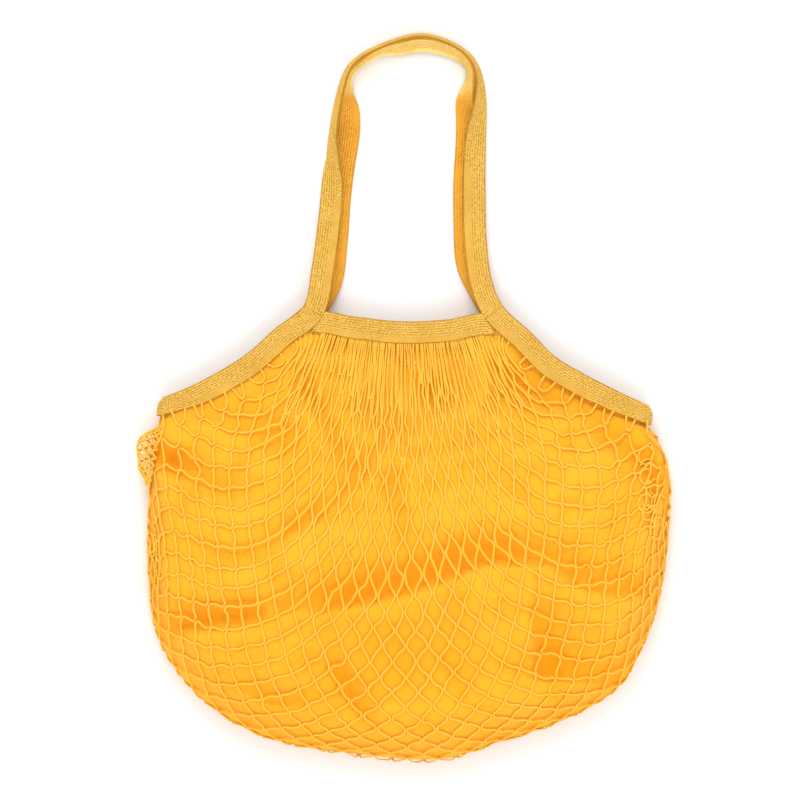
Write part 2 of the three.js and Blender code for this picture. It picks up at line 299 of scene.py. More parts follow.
# %% The folds
FOLDS = [
    # route from left to right, depth, reach on the left of the route, reach on its right
    ([(-178, -172), (-152, -167), (-128, -163), (-100, -159)], 12, 14, 5),
    (
        [(-78, -154), (-54, -151), (-28, -145), (0, -138), (27, -129), (57, -118), (87, -116), (120, -122)],
        12, 18, 6,
    ),  # fmt: skip
    ([(116, -124), (132, -135), (155, -141), (188, -143)], 8, 17, 6),
    ([(-214, -30), (-196, -37), (-180, -45), (-166, -50)], 17, 10, 6),
    ([(-176, -46), (-150, -60), (-122, -72)], 6, 20, 10),
    ([(-104, -112), (-78, -92), (-55, -76), (-34, -57), (-18, -36)], 5, 14, 6),
    ([(-76, 14), (-69, 3), (-55, -24), (-40, -50)], 4, 10, 7),
    ([(-135, -8), (-105, -24), (-78, -42)], 5, 20, 14),
    ([(-4, 36), (5, 24), (16, 10), (28, -4)], 5, 12, 9),
    ([(-66, 44), (-3, 36), (62, 41)], 6, 9, 7),
    ([(60, 32), (78, 19), (113, 0), (147, -14), (182, -40), (192, -70)], 5.5, 13, 8),
    ([(66, 16), (90, 2), (112, -10)], 5, 12, 14),
    ([(140, -24), (168, -40), (186, -62)], 7, 9, 9),
    ([(183, -32), (187, -52), (188, -78)], 5, 7, 7),
    ([(99, -150), (101, -168), (103, -188), (105, -210)], 8, 28, 5),
    ([(92, -202), (118, -205), (150, -209), (188, -212)], 8, 24, 6),
    ([(-54, -196), (-46, -207), (-36, -226), (-20, -254)], 6, 6, 5),
    ([(-124, -214), (-98, -224), (-72, -226)], 6, 10, 5),
    ([(-14, -52), (-4, -84), (2, -116)], 4, 9, 7),
    ([(-160, -110), (-120, -118), (-90, -104)], 3, 13, 7),
    ([(-80, -206), (-30, -200), (20, -192), (70, -190)], 6, 40, 40),
    ([(-44, 6), (0, 2), (44, 6)], 2.5, 30, 30),
]
ROUTE_STEPS = 24
END_FADE = (-0.12, 0.22)  # shares of the route over which a fold starts and ends


def nearest_on_route(route, x, y):
    points = smooth_curve(route, np.linspace(0, 1, ROUTE_STEPS))
    best = np.full(np.shape(x), 1e9)
    signed = np.zeros(np.shape(x))
    share = np.zeros(np.shape(x))
    for i in range(len(points) - 1):
        start, along = points[i], points[i + 1] - points[i]
        t = np.clip(((x - start[0]) * along[0] + (y - start[1]) * along[1]) / (along @ along), 0, 1)
        dx, dy = x - start[0] - along[0] * t, y - start[1] - along[1] * t
        distance = np.hypot(dx, dy)
        closer = distance < best
        best = np.where(closer, distance, best)
        signed = np.where(closer, along[0] * dy - along[1] * dx, signed)
        share = np.where(closer, (i + t) / (len(points) - 1), share)
    return best, signed > 0, share


def fold_field(strength, softness):
    def depth(x, y):
        total = np.zeros(np.shape(x))
        for route, deep, left_reach, right_reach in FOLDS:
            distance, on_left, share = nearest_on_route(route, x, y)
            reach = np.where(on_left, left_reach, right_reach) * softness
            fade = smooth_step(np.minimum(share, 1 - share), *END_FADE)
            total += strength * deep * fade * np.exp(-((distance / reach) ** 2))
        return total

    return depth


net_folds = fold_field(0.3, 1.35)
lining_folds = fold_field(1.0, 1.0)
print("deepest place of the long crease, mm:", round(float(lining_folds(-3.0, -134.0)), 1))

# %% [markdown]
# ## Turning arrays into meshes
# The pieces below are worked out as arrays of points and quads. This helper hands them to
# Blender in a few bulk calls, which takes a moment where a loop over vertices would take
# minutes. Each quad corner also gets a UV, measured in metres along and across the cloth,
# so that a weave keeps its true size. A surface can also become a search tree, which answers
# quickly where a ray meets it.

# %% Helper for pieces
def make_piece(name, points, quads, uvs, material, nodes, caps=()):
    mesh = bpy.data.meshes.new(name)
    loops = np.concatenate([quads.ravel(), *[np.asarray(cap) for cap in caps]]).astype(np.int32)
    sizes = np.array([4] * len(quads) + [len(cap) for cap in caps], np.int32)
    mesh.vertices.add(len(points))
    mesh.vertices.foreach_set("co", (points * MM).astype(np.float32).ravel())
    mesh.loops.add(len(loops))
    mesh.loops.foreach_set("vertex_index", loops)
    mesh.polygons.add(len(sizes))
    mesh.polygons.foreach_set("loop_start", np.concatenate([[0], np.cumsum(sizes)[:-1]]).astype(np.int32))
    mesh.polygons.foreach_set("loop_total", sizes)
    mesh.polygons.foreach_set("use_smooth", np.ones(len(sizes), bool))
    layer = mesh.uv_layers.new(name="cloth")
    flat = np.zeros((len(loops), 2), np.float32)
    flat[: quads.size] = uvs.reshape(-1, 2) * MM
    layer.data.foreach_set("uv", flat.ravel())
    mesh.update(calc_edges=True)
    mesh.validate()
    mesh.materials.append(material)
    piece = bpy.data.objects.new(name, mesh)
    bpy.context.scene.collection.objects.link(piece)
    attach(piece, "root")
    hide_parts(*nodes)
    print(name, "has", sum(int(s) - 2 for s in sizes), "triangles")
    return piece


def grid_quads(rows, columns, start=0, closed=False):
    i = np.arange(rows - 1)[:, None]
    j = np.arange(columns if closed else columns - 1)[None, :]
    here = start + i * columns + j
    beside = start + i * columns + (j + 1) % columns
    return np.stack([here, beside, beside + columns, here + columns], -1).reshape(-1, 4)


def surface_tree(points):
    corners = [Vector(p) for p in points.reshape(-1, 3)]
    return BVHTree.FromPolygons(corners, grid_quads(*points.shape[:2]).tolist())


print("mesh helpers ready")

# %% [markdown]
# ## The cotton of the lining
# The lining is a thin plain-woven cotton. Plain weave is two sets of threads going over and
# under, so two sine waves at right angles make its relief, with a slow noise for the uneven
# threads. The dye is a warm golden yellow. Deep in a fold, light bounces from yellow cloth to
# yellow cloth and turns orange. A renderer's few bounces lose some of that, so a number stored
# on the mesh's points, called fold, blends in painted shade there as a deeper orange in the colour.

# %% Lining material
SOFT_COTTON = {
    "Roughness": 0.95,
    "Specular_IOR_Level": 0.2,
    "Sheen_Weight": 0.45,
    "Sheen_Tint": (1.0, 0.72, 0.25, 1.0),
}
DEEP_GOLD, PALE_GOLD = (0.91, 0.40, 0.012, 1), (0.92, 0.44, 0.018, 1)
ORANGE_PATCH, PALE_SLUB = (0.91, 0.355, 0.008, 1), (0.93, 0.45, 0.025, 1)
FOLD_SHADE_ORANGE = (0.91, 0.345, 0.003, 1)
WEAVE_PITCH = 0.0011

cotton, tree, shader = start_material("golden_cotton", **SOFT_COTTON)
axes, place = cloth_places(tree)
warp = sine(tree, axes[0], 1 / WEAVE_PITCH)
weft = sine(tree, axes[1], 1 / WEAVE_PITCH)
crossing = calculate(tree, "MULTIPLY", warp, weft)
dye = noise_value(tree, place, 14.0, 4.0)
slub = noise_value(tree, place, 420.0)
patches = noise_value(tree, place, 38.0)
colour = blend_colours(tree, spread(tree, dye, 0.35, 0.65), DEEP_GOLD, PALE_GOLD)
colour = blend_colours(tree, spread(tree, patches, 0.5, 0.68), colour, ORANGE_PATCH)
colour = blend_colours(tree, spread(tree, slub, 0.3, 0.8), colour, PALE_SLUB)
# Painted shade: the deeper the fold, the more the colour turns to the orange of bounced light.
fold = add_node(tree, "Attribute", attribute_name="fold").outputs["Fac"]
colour = blend_colours(tree, fold, colour, FOLD_SHADE_ORANGE)
relief = calculate(tree, "MULTIPLY_ADD", crossing, 0.35, slub)
finish_material(tree, shader, colour, relief, 0.25, 0.0002)
print("lining weave:", round(MM / WEAVE_PITCH, 2), "threads a millimetre")

# %% [markdown]
# ## The lining
# The lining is an inner bag of thin cotton that hangs loose inside the net. It could be
# draped by a cloth simulation, but its creases have to fall in the same places each time, so it
# is drawn: the pouch surface, pulled in a little from the rim, with the folds above and fine
# wrinkles that run down from the gathered mouth.

# %% Draw the lining's front and back
LINING_CLEARANCE = 1.5
LINING_THICKNESS = 1.0
LINING_COLUMNS, LINING_ROWS = 181, 129
END_GAP, END_CLOSING = 0.006, 0.05  # shares of the mouth, from its corners
UNDER_TAPE = 3.5  # how far the lining reaches up under the tape
RIM_CLOSING = 38.0  # over this length the front and the back come together at the rim
ROW_CROWDING = 1.35  # above 1, the rows lie closer together near the rim
PLEAT_DEPTH, PLEAT_SIZE = 0.9, 3.1
PLEAT_LEVEL, PLEAT_REACH = 40, 48
PLEATED_HALF_WIDTH = 90
# In the next two lines, the first list is places along the mouth and the second millimetres.
MOUTH_SAG = ([0, 0.24, 0.34, 1], [-0.5, -0.3, 0.9, 0.9])
RIM_INSETS = ([0, 0.42, 0.46, 0.5, 0.54, 0.86, 0.93, 1], [0.4, 0.4, 2.0, 2.0, 0.4, 0.4, 0.8, 0.8])
MOUTH_SAG_LENGTH = 9


def wrinkle(x, y, scale_x, scale_y, seed):
    flat = np.stack([np.ravel(x) / scale_x, np.ravel(y) / scale_y], -1)
    heights = [noise.noise((a, b, seed)) for a, b in flat]
    return np.reshape(heights, np.shape(x))


def front_sag(x, y, loose):
    sag = lining_folds(x, y) * loose
    pleats = PLEAT_DEPTH * np.sin(x / PLEAT_SIZE + 2.2 * np.sin(x / 17 + y / 60))
    pleats = pleats * np.exp(-(((y - PLEAT_LEVEL) / PLEAT_REACH) ** 2))
    sag = sag + loose * pleats * (np.abs(x) < PLEATED_HALF_WIDTH)
    sag = sag + loose * 1.5 * (0.5 + wrinkle(x, y, 26, 40, 1.3))
    sag = sag + loose * 1.1 * np.abs(wrinkle(x + 0.3 * y, y, 17, 11, 4.1))
    return sag + loose * 3.0 * np.abs(wrinkle(x, y - 0.2 * x, 62, 26, 8.7))


def lining_sheets():
    u = np.linspace(END_GAP, 1 - END_GAP, LINING_COLUMNS)[:, None]
    v = 1 - (1 - np.linspace(0, 1, LINING_ROWS)[None, :]) ** ROW_CROWDING
    length = np.linalg.norm(smooth_curve(MOUTH_EDGE, u) - smooth_curve(RIM, u), axis=-1)
    inset = np.interp(u, *RIM_INSETS) / length
    depth = mix(-(UNDER_TAPE / length), np.maximum(1 - inset, 0.45), v)
    from_corner = np.minimum(u, 1 - u) - END_GAP
    closing = quarter_round((1 - v) * length / np.minimum(RIM_CLOSING, length))
    closing = closing * quarter_round(from_corner / END_CLOSING)
    loose = quarter_round(np.clip(np.minimum(v, 1 - v) * 5, 0, 1)) * np.clip(length / FOLDED_LENGTH, 0, 1)
    front, back = pouch_point(u, depth), pouch_point(u, 2 - depth)
    sag = front_sag(front[..., 0], front[..., 1], loose)
    sag = sag + np.interp(u, *MOUTH_SAG) * np.exp(-((v * length / MOUTH_SAG_LENGTH) ** 2))
    front[..., 2] = RIM_HEIGHT + (front[..., 2] - RIM_HEIGHT - sag) * closing
    back[..., 2] = RIM_HEIGHT + (back[..., 2] - RIM_HEIGHT) * closing
    return front, back


def sheet_normals(points):
    along = np.gradient(points, axis=0)
    down = np.gradient(points, axis=1)
    return unit(np.cross(down, along))


front_sheet, back_sheet = lining_sheets()
outer = np.concatenate([front_sheet, back_sheet[:, -2::-1]], 1)
outer_normals = sheet_normals(outer)
middle_column, middle_row = LINING_COLUMNS // 2, LINING_ROWS // 2
print("the lining faces", outer_normals[middle_column, middle_row].round(1), "on its front")
print("and", outer_normals[middle_column, -middle_row].round(1), "on its back")

# %% [markdown]
# ## Closing the lining
# The sheets are one surface without a thickness. Real cloth has two faces, so a second layer is
# laid one millimetre inside the first, and a strip joins their edges. Thick cloth could
# also come from a Solidify modifier, but here the layers are needed as arrays: the net is laid
# on the outer one, and the depth of the folds is stored on both.

# %% Close the lining
# The painted shade in the folds grows with their depth and reaches its full orange at this depth.
FULL_SHADE_FOLD_DEPTH = 15.0  # a fold this deep has the full orange


def shell_piece(name, outer, clearance, thickness, material, nodes):
    rows, columns = outer.shape[:2]
    normals = sheet_normals(outer)
    layers = [outer - normals * clearance, outer - normals * (clearance + thickness)]
    points = np.concatenate([layer.reshape(-1, 3) for layer in layers])
    top = grid_quads(rows, columns)
    bottom = grid_quads(rows, columns, rows * columns)[:, ::-1]
    index = np.arange(rows * columns).reshape(rows, columns)
    rim = np.concatenate([index[0, :], index[1:, -1], index[-1, -2::-1], index[-2:0:-1, 0]])
    after = np.roll(rim, -1)
    edge = np.stack([rim, after, after + rows * columns, rim + rows * columns], -1)
    quads = np.concatenate([top, bottom, edge])
    across, down = distance_along(outer[:, columns // 3]), distance_along(outer[rows // 2])
    flat = np.stack(np.broadcast_arrays(across[:, None], down[None, :]), -1).reshape(-1, 2)
    flat = np.concatenate([flat, flat])
    return make_piece(name, points, quads, flat[quads], material, nodes)


lining = shell_piece("cotton_lining", outer, LINING_CLEARANCE, LINING_THICKNESS, cotton, ["lining"])
# Each point stores how deep its fold is. This is the mask of the painted shade in the folds.
deepness = np.zeros(outer.shape[:2])
front_depths = lining_folds(front_sheet[..., 0], front_sheet[..., 1])
deepness[:, :LINING_ROWS] = np.clip(front_depths / FULL_SHADE_FOLD_DEPTH, 0, 1)
fold_attribute = lining.data.attributes.new("fold", "FLOAT", "POINT")
fold_attribute.data.foreach_set("value", np.tile(deepness.ravel(), 2).astype(np.float32))
lining_tree = surface_tree(outer - outer_normals * LINING_CLEARANCE)

# %% [markdown]
# ## How the net is knitted
# The net is a long strip of diamond mesh, folded at the bottom. Counted in half cells, it has
# columns c from -27 to 27 and rows r from 0 at the front band, through 26 at the bottom, to 52
# at the back band. There is a joint wherever c + r is even, and each thread of the net runs
# from a joint to its diagonal neighbours. The first and last rows are gathered into the short
# bands, and the two side edges are bound by the tape beside the mouth.

# %% Count the joints and the threads between them
HALF_COLUMNS = 27
HALF_ROWS = 26
BAND_COLUMNS = 23
THREAD_LENGTH = 15.0
SIDE_START, SIDE_ROWS = 22.0, 14

joints = [
    (c, r)
    for r in range(2 * HALF_ROWS + 1)
    for c in range(-HALF_COLUMNS, HALF_COLUMNS + 1)
    if (c + r) % 2 == 0
]
joint_at = {joint: i for i, joint in enumerate(joints)}
columns, rows = np.array(joints, float).T


def pairs(steps):
    found = [
        (i, joint_at[c + dc, r + dr])
        for (c, r), i in joint_at.items()
        for dc, dr in steps
        if (c + dc, r + dr) in joint_at
    ]
    return np.array(found)


threads = pairs([(-1, 1), (1, 1)])
tall_cells = pairs([(0, 2)])
wide_cells = pairs([(2, 0)])
print(len(joints), "joints,", len(threads), "threads between them")

# %% [markdown]
# ## Where the net is held
# Distances are measured along the edge of the mouth, so a table turns them into u.
# The side edges start some way below the band and follow the tape to the corner. From there
# down the front and the back are sewn to each other in a seam, which may slide along the rim.

# %% Fix the edges of the net
HALF_BAND = 0.192
BAND_SPAN = (0.5 - HALF_BAND, 0.5 + HALF_BAND)
SIDE_END = 0.985

edge_steps = np.linspace(0, 1, 2001)
edge_lengths = distance_along(smooth_curve(MOUTH_EDGE, edge_steps))
band_ends = np.interp(BAND_SPAN, edge_steps, edge_lengths)
side_lengths = {-1: band_ends[0], 1: edge_lengths[-1] - band_ends[1]}


def u_at_length(length):
    return float(np.interp(length, edge_lengths, edge_steps))


def u_under_band(c):
    return u_at_length(mix(*band_ends, (c + BAND_COLUMNS) / (2 * BAND_COLUMNS)))


def u_beside_band(side, distance):
    return u_at_length(band_ends[0] - distance if side < 0 else band_ends[1] + distance)


def held_place(c, r):
    row = min(r, 2 * HALF_ROWS - r)
    side = -1 if c < 0 else 1
    if row > 0:
        u = u_beside_band(side, mix(SIDE_START, side_lengths[side] * SIDE_END, row / SIDE_ROWS))
    elif abs(c) > BAND_COLUMNS:
        distance = (abs(c) - BAND_COLUMNS) * SIDE_START / (HALF_COLUMNS - BAND_COLUMNS + 1)
        u = u_beside_band(side, distance)
    else:
        u = u_under_band(c)
    return u, 0.0 if r <= HALF_ROWS else 2.0


held = {
    i: held_place(c, r)
    for (c, r), i in joint_at.items()
    if r in (0, 2 * HALF_ROWS) or (abs(c) == HALF_COLUMNS and min(r, 2 * HALF_ROWS - r) <= SIDE_ROWS)
}
free = np.ones(len(joints), bool)
free[list(held)] = False
seam = np.array(
    [
        (i, joint_at[c, 2 * HALF_ROWS - r])
        for (c, r), i in joint_at.items()
        if abs(c) == HALF_COLUMNS and SIDE_ROWS < r < HALF_ROWS
    ]
)
print(len(held), "joints are held,", int(free.sum()), "are free")

# %% [markdown]
# ## Letting the net settle
# How the diamonds open can't be drawn by hand: under the band they are squeezed to slits, and
# at the sides they turn into squares. So the net is settled like a set of springs. In each
# round every thread pulls its two joints towards its own length, cells that are too slim push
# open, and each joint slides on the pouch. A slide is worked out in u and w, because then a
# joint can't leave the surface. Blender's cloth could do this too, but not with the joints kept
# on a given surface.

# %% Settle the net on the pouch
GRID = 361
THREAD_SPREAD = 0.035  # how unequal the threads are
SLACK_PUSH = 0.2  # a slack thread pushes with this share of what a tight one pulls
TALL_CELL, WIDE_CELL = 9.0, 4.5  # the least height and width of a cell
STEP_SHARE, HANG = 0.45, 0.05
FIRST_ROUNDS, ROUNDS = 60, 900
FIRST_SMOOTHING, SMOOTHING = 0.3, 0.08
MOST_U, MOST_W = 0.01, 0.02  # the longest slide in a round
MOUTH_MARGIN = 0.012
SEAM_START, SEAM_SPAN = 0.01, 0.16

surface = pouch_point(np.linspace(0, 1, GRID)[:, None], np.linspace(0, 2, GRID)[None, :], net_folds)
unequal = THREAD_SPREAD * np.random.default_rng(5).standard_normal(len(threads))
lengths_wanted = THREAD_LENGTH * (1 + unequal)


def on_pouch(u, w):
    across, down = np.clip(u, 0, 1) * (GRID - 1), np.clip(w, 0, 2) / 2 * (GRID - 1)
    i, j = np.minimum(across.astype(int), GRID - 2), np.minimum(down.astype(int), GRID - 2)
    a, b = (across - i)[:, None], (down - j)[:, None]
    p, q, r, s = surface[i, j], surface[i + 1, j], surface[i, j + 1], surface[i + 1, j + 1]
    point = (1 - a) * (1 - b) * p + a * (1 - b) * q + (1 - a) * b * r + a * b * s
    by_u = ((1 - b) * (q - p) + b * (s - r)) * (GRID - 1)
    by_w = ((1 - a) * (r - p) + a * (s - q)) * (GRID - 1) / 2
    return point, by_u, by_w


def slide(u, w, step):
    _, by_u, by_w = on_pouch(u, w)
    uu, uw, ww = (by_u * by_u).sum(1), (by_u * by_w).sum(1), (by_w * by_w).sum(1)
    # The damping keeps a slide short where u and w run nearly the same way.
    damping = 0.0004 * (uu + ww) + 2.0
    uu, ww = uu + damping, ww + damping
    along_u, along_w = (by_u * step).sum(1), (by_w * step).sum(1)
    det = uu * ww - uw * uw
    u = u + free * np.clip((ww * along_u - uw * along_w) / det, -MOST_U, MOST_U)
    w = w + free * np.clip((uu * along_w - uw * along_u) / det, -MOST_W, MOST_W)
    round_corner = (u < 0) | (u > 1)
    u = np.where(u < 0, -u, np.where(u > 1, 2 - u, u))
    w = np.where(round_corner, 2 - w, w)
    return u, np.where(free, np.clip(w, MOUTH_MARGIN, 2 - MOUTH_MARGIN), w)


def push_apart(points, step, cells, least):
    v = points[cells[:, 1]] - points[cells[:, 0]]
    length = np.linalg.norm(v, axis=1) + 1e-9
    move = (0.5 * np.minimum(length - least, 0) / length)[:, None] * v
    np.add.at(step, cells[:, 0], move)
    np.add.at(step, cells[:, 1], -move)


def first_places():
    share = np.where(rows <= HALF_ROWS, rows, 2 * HALF_ROWS - rows) / HALF_ROWS
    u = 0.5 + columns / HALF_COLUMNS * mix(HALF_BAND * HALF_COLUMNS / BAND_COLUMNS, 0.5, share**0.7)
    mouth_side = np.where(rows <= HALF_ROWS, 0.0, 2.0)
    w = mix(rows / HALF_ROWS, mix(mouth_side, 1.0, share**3), (abs(columns) / HALF_COLUMNS) ** 4)
    for i, (held_u, held_w) in held.items():
        u[i], w[i] = held_u, held_w
    down_seam = SEAM_START + SEAM_SPAN * (rows[seam] - SIDE_ROWS) / (HALF_ROWS - SIDE_ROWS)
    down_seam = down_seam[:, :1]
    u[seam] = np.where(columns[seam] < 0, down_seam, 1 - down_seam)
    w[seam] = 1.0
    return u, w


def settle(u, w):
    a, b = threads.T
    pull_a, pull_b = np.where(free[b], 1, 2.0)[:, None], np.where(free[a], 1, 2.0)[:, None]
    neighbours = np.bincount(threads.ravel(), minlength=len(joints))[:, None]
    tall = tall_cells[free[tall_cells].any(1)]
    wide = wide_cells[free[wide_cells].any(1)]
    for turn in range(FIRST_ROUNDS + ROUNDS):
        points, _, _ = on_pouch(u, w)
        step = np.zeros_like(points)
        v = points[b] - points[a]
        length = np.linalg.norm(v, axis=1) + 1e-9
        stretch = length - lengths_wanted
        move = (0.5 * np.where(stretch > 0, 1.0, SLACK_PUSH) * stretch / length)[:, None] * v
        np.add.at(step, a, move * pull_a)
        np.add.at(step, b, -move * pull_b)
        push_apart(points, step, tall, TALL_CELL)
        push_apart(points, step, wide, WIDE_CELL)
        middle = np.zeros_like(points)
        np.add.at(middle, a, points[b])
        np.add.at(middle, b, points[a])
        smoothing = FIRST_SMOOTHING if turn < FIRST_ROUNDS else SMOOTHING
        step = STEP_SHARE * step + smoothing * (middle / neighbours - points)
        step[:, 1] -= HANG
        u, w = slide(u, w, step)
        u[seam] = u[seam].mean(1, keepdims=True)
        w[seam] = 1.0
    return u, w


joint_u, joint_w = settle(*first_places())
joint_points, _, _ = on_pouch(joint_u, joint_w)
settled = np.linalg.norm(joint_points[threads[:, 1]] - joint_points[threads[:, 0]], axis=1)
shortest, mean, longest = settled.min(), settled.mean(), settled.max()
print(f"settled threads, mm: mean {mean:.1f}, least {shortest:.1f}, most {longest:.1f}")

# %% [markdown]
# ## The thread's finish
# The net is knitted from a soft cotton yarn, a little paler than the lining because it stands
# up into the light. The yarn is twisted, so its relief is a slanted wave round the thread,
# and a fine noise stands for the loose fibres.

# %% Thread material
DEEP_YARN, PALE_YARN = (0.93, 0.515, 0.048, 1), (0.95, 0.55, 0.062, 1)
TWIST_SHADE = (0.91, 0.46, 0.034, 1)
TWIST_PITCH, TWIST_SLANT = 0.0021, 0.45

yarn, tree, shader = start_material("pale_yellow_yarn", **SOFT_COTTON)
axes, place = cloth_places(tree)
slant = calculate(tree, "MULTIPLY_ADD", axes[1], TWIST_SLANT, axes[0])
twist = sine(tree, slant, 1 / TWIST_PITCH)
fibres = noise_value(tree, place, 1500.0)
batch = noise_value(tree, place, 22.0, 3.0)
colour = blend_colours(tree, spread(tree, batch, 0.35, 0.65), DEEP_YARN, PALE_YARN)
colour = blend_colours(tree, spread(tree, twist, -1.0, 0.2), TWIST_SHADE, colour)
relief = calculate(tree, "MULTIPLY_ADD", twist, 0.5, fibres)
finish_material(tree, shader, colour, relief, 0.5, 0.0004)
print("yarn of", round(TWIST_PITCH / MM, 1), "mm to a twist")

# %% [markdown]
# ## The strands of the net
# A knitted net is made of strands that zigzag down its whole length. Strand k lives between
# column k and column k + 1 and touches them in turn. Where two strands meet they run side by
# side for a few millimetres, which is the joint that you see. Each strand gets two points at each
# joint and one between joints, with a little slack, and cutting its corners makes it smooth.

# %% Lay out the strands
THREAD_RADIUS = 0.8
THREAD_FLATNESS = 0.75
JOINT_HALF_LENGTH = 1.7
JOINT_JITTER, SLACK, SLACK_SAG = 0.4, 0.9, 0.3
# The side columns are looser than the rest, and the rows next to a band are tighter.
LOOSE_COLUMNS, TIGHT_ROWS = (19, 26), (1, 5)
SPREAD_AT_BAND = ([0, 2, 5], [1.4, 1.35, 0.85])  # rows from the band, half the gap at a joint
TUCK = 7.5  # how far a strand reaches up under the tape
NET_EDGE_STEP = 0.002

slack_rng = np.random.default_rng(11)
rows_from_band = np.minimum(rows, 2 * HALF_ROWS - rows)
looser_at_sides = 0.8 * smooth_step(np.abs(columns), *LOOSE_COLUMNS)
tighter_at_band = 0.65 * (1 - smooth_step(rows_from_band, *TIGHT_ROWS))
looseness = (1 + looser_at_sides - tighter_at_band)[:, None]
jitter = slack_rng.normal(0, JOINT_JITTER, (len(joints), 3)) * looseness
joint_places = joint_points + np.where(free[:, None], jitter, 0)


def neighbour_mean(c, r, dr):
    found = [joint_places[joint_at[c + dc, r + dr]] for dc in (-1, 1) if (c + dc, r + dr) in joint_at]
    return np.mean(found, axis=0) if found else None


def joint_directions(c, r):
    here = joint_places[joint_at[c, r]]
    before, after = neighbour_mean(c, r, -1), neighbour_mean(c, r, 1)
    before = here if before is None else before
    after = here if after is None else after
    down = unit(after - before)
    left = joint_at.get((c - 2, r), joint_at[c, r])
    right = joint_at.get((c + 2, r), joint_at[c, r])
    across = joint_places[right] - joint_places[left]
    across = unit(across - down * (across @ down))
    return down, across


def mouth_outward(u, step):
    along = smooth_curve(MOUTH_EDGE, min(u + step, 1)) - smooth_curve(MOUTH_EDGE, max(u - step, 0))
    return unit(np.array([-along[1], along[0], 0.0]))


def strand_points(k):
    points, tucked = [], []
    for r in range(2 * HALF_ROWS + 1):
        c = k if (k + r) % 2 == 0 else k + 1
        i = joint_at[c, r]
        down, across = joint_directions(c, r)
        here = joint_places[i]
        is_edge = joint_w[i] in (0.0, 2.0) and not free[i]
        apart = np.interp(min(r, 2 * HALF_ROWS - r), *SPREAD_AT_BAND)
        aside = across * apart * (1 if c == k else -1)
        if is_edge:
            here = here + mouth_outward(joint_u[i], NET_EDGE_STEP) * TUCK
        first, last = here - down * JOINT_HALF_LENGTH + aside, here + down * JOINT_HALF_LENGTH + aside
        if points:
            slack = slack_rng.normal(0, SLACK, 3) * looseness[i]
            slack[1] -= SLACK_SAG
            points.append(0.5 * (points[-1] + first) + slack)
            tucked.append(False)
        if r not in (0, 2 * HALF_ROWS):
            points += [first, last]
            tucked += [is_edge, is_edge]
        else:
            points.append(here + aside)
            tucked.append(True)
    return np.array(points), np.array(tucked, float)


def cut_corners(points, flags):
    first = 0.75 * points[:-1] + 0.25 * points[1:]
    second = 0.25 * points[:-1] + 0.75 * points[1:]
    smooth = np.stack([first, second], 1).reshape(-1, points.shape[1])
    flags = np.repeat(np.maximum(flags[:-1], flags[1:]), 2)
    return np.vstack([points[:1], smooth, points[-1:]]), np.concatenate([flags[:1], flags, flags[-1:]])


print("looseness of the joints:", looseness.min().round(2), "to", looseness.max().round(2))

# %% [markdown]
# ## Laying the strands on the lining
# A net rests on what it holds, but it is too taut to follow a narrow fold. So a ray is sent
# from each point of a strand down to the lining. The least of the depths nearby is taken, and
# then their mean, which makes the strand bridge a fold in a smooth line. Under a tape the
# strand dives between the tape and the lining instead. A Shrinkwrap modifier would press
# every strand into every crease.

# %% Lay the strands on the lining
MOST_BRIDGED, LEAST_DEPTH, LOOK_ABOVE = 15.0, 0.8, 6.0
TUCK_DEPTH, TUCK_SPREAD = 2.0, 5  # how deep a strand dives under a tape, over how many points
BRIDGE_HALF_LENGTH = 7
RIM_SLOPE = 0.5  # a strand lies no deeper than about this share of its height over the rim

pouch_tree = surface_tree(surface)


def depth_of_lining(place, normal):
    start = Vector(place + normal * LOOK_ABOVE)
    _, _, _, distance = lining_tree.ray_cast(start, Vector(-normal), LOOK_ABOVE + MOST_BRIDGED)
    return LINING_CLEARANCE if distance is None else distance - LOOK_ABOVE


def bridged(depths):
    n = BRIDGE_HALF_LENGTH
    padded = np.pad(depths, n, mode="edge")
    least = np.min([padded[k : k + len(depths)] for k in range(2 * n + 1)], axis=0)
    padded = np.pad(least, n, mode="edge")
    return np.mean([padded[k : k + len(depths)] for k in range(2 * n + 1)], axis=0)


def settle_on_lining(points, flags):
    places, overs = [], []
    for point in points:
        place, normal, _, _ = pouch_tree.find_nearest(Vector(point))
        places.append(place)
        overs.append(normal)
    places, overs = np.array(places), np.array(overs)
    depths = np.array([depth_of_lining(place, over) for place, over in zip(places, overs)])
    depths = bridged(depths - THREAD_RADIUS * THREAD_FLATNESS)
    depths = np.minimum(depths, LEAST_DEPTH + RIM_SLOPE * np.abs(places[:, 2] - RIM_HEIGHT))
    tucked = flags > 0
    padded = np.pad(tucked.astype(float), TUCK_SPREAD // 2, mode="edge")
    dive = TUCK_DEPTH * np.convolve(padded, np.full(TUCK_SPREAD, 1 / TUCK_SPREAD), mode="valid")
    centres = places - overs * (np.maximum(depths, LEAST_DEPTH) + dive)[:, None]
    centres[tucked, :2] = points[tucked, :2]
    centres[tucked, 2] = places[tucked, 2] - TUCK_DEPTH * np.sign(places[tucked, 2] - RIM_HEIGHT)
    return centres, overs


def laid_strand(points, tucked, radius=THREAD_RADIUS, smoothing=1):
    for _ in range(smoothing):
        points, tucked = cut_corners(points, tucked)
    centres, overs = settle_on_lining(points, tucked)
    return centres, overs, radius


strands = [laid_strand(*strand_points(k)) for k in range(-HALF_COLUMNS, HALF_COLUMNS)]
print(len(strands), "strands of", len(strands[0][0]), "points each")

# %% [markdown]
# ## Ties under the bands
# Where the net is gathered, more thread crowds under the bands than its strands alone: the first
# rows are knitted closer and double. Thin ties stand for that. Each runs from the band to
# a joint in one of the first six rows, drawn at random, so the crowd thins out downwards
# and doesn't end in a line.

# %% Add the ties
TIE_RADIUS, TIE_SLACK = 0.55, 0.8
TIE_FLAGS = np.array([1.0, 1.0, 0, 0, 0])  # the first two points are under the tape


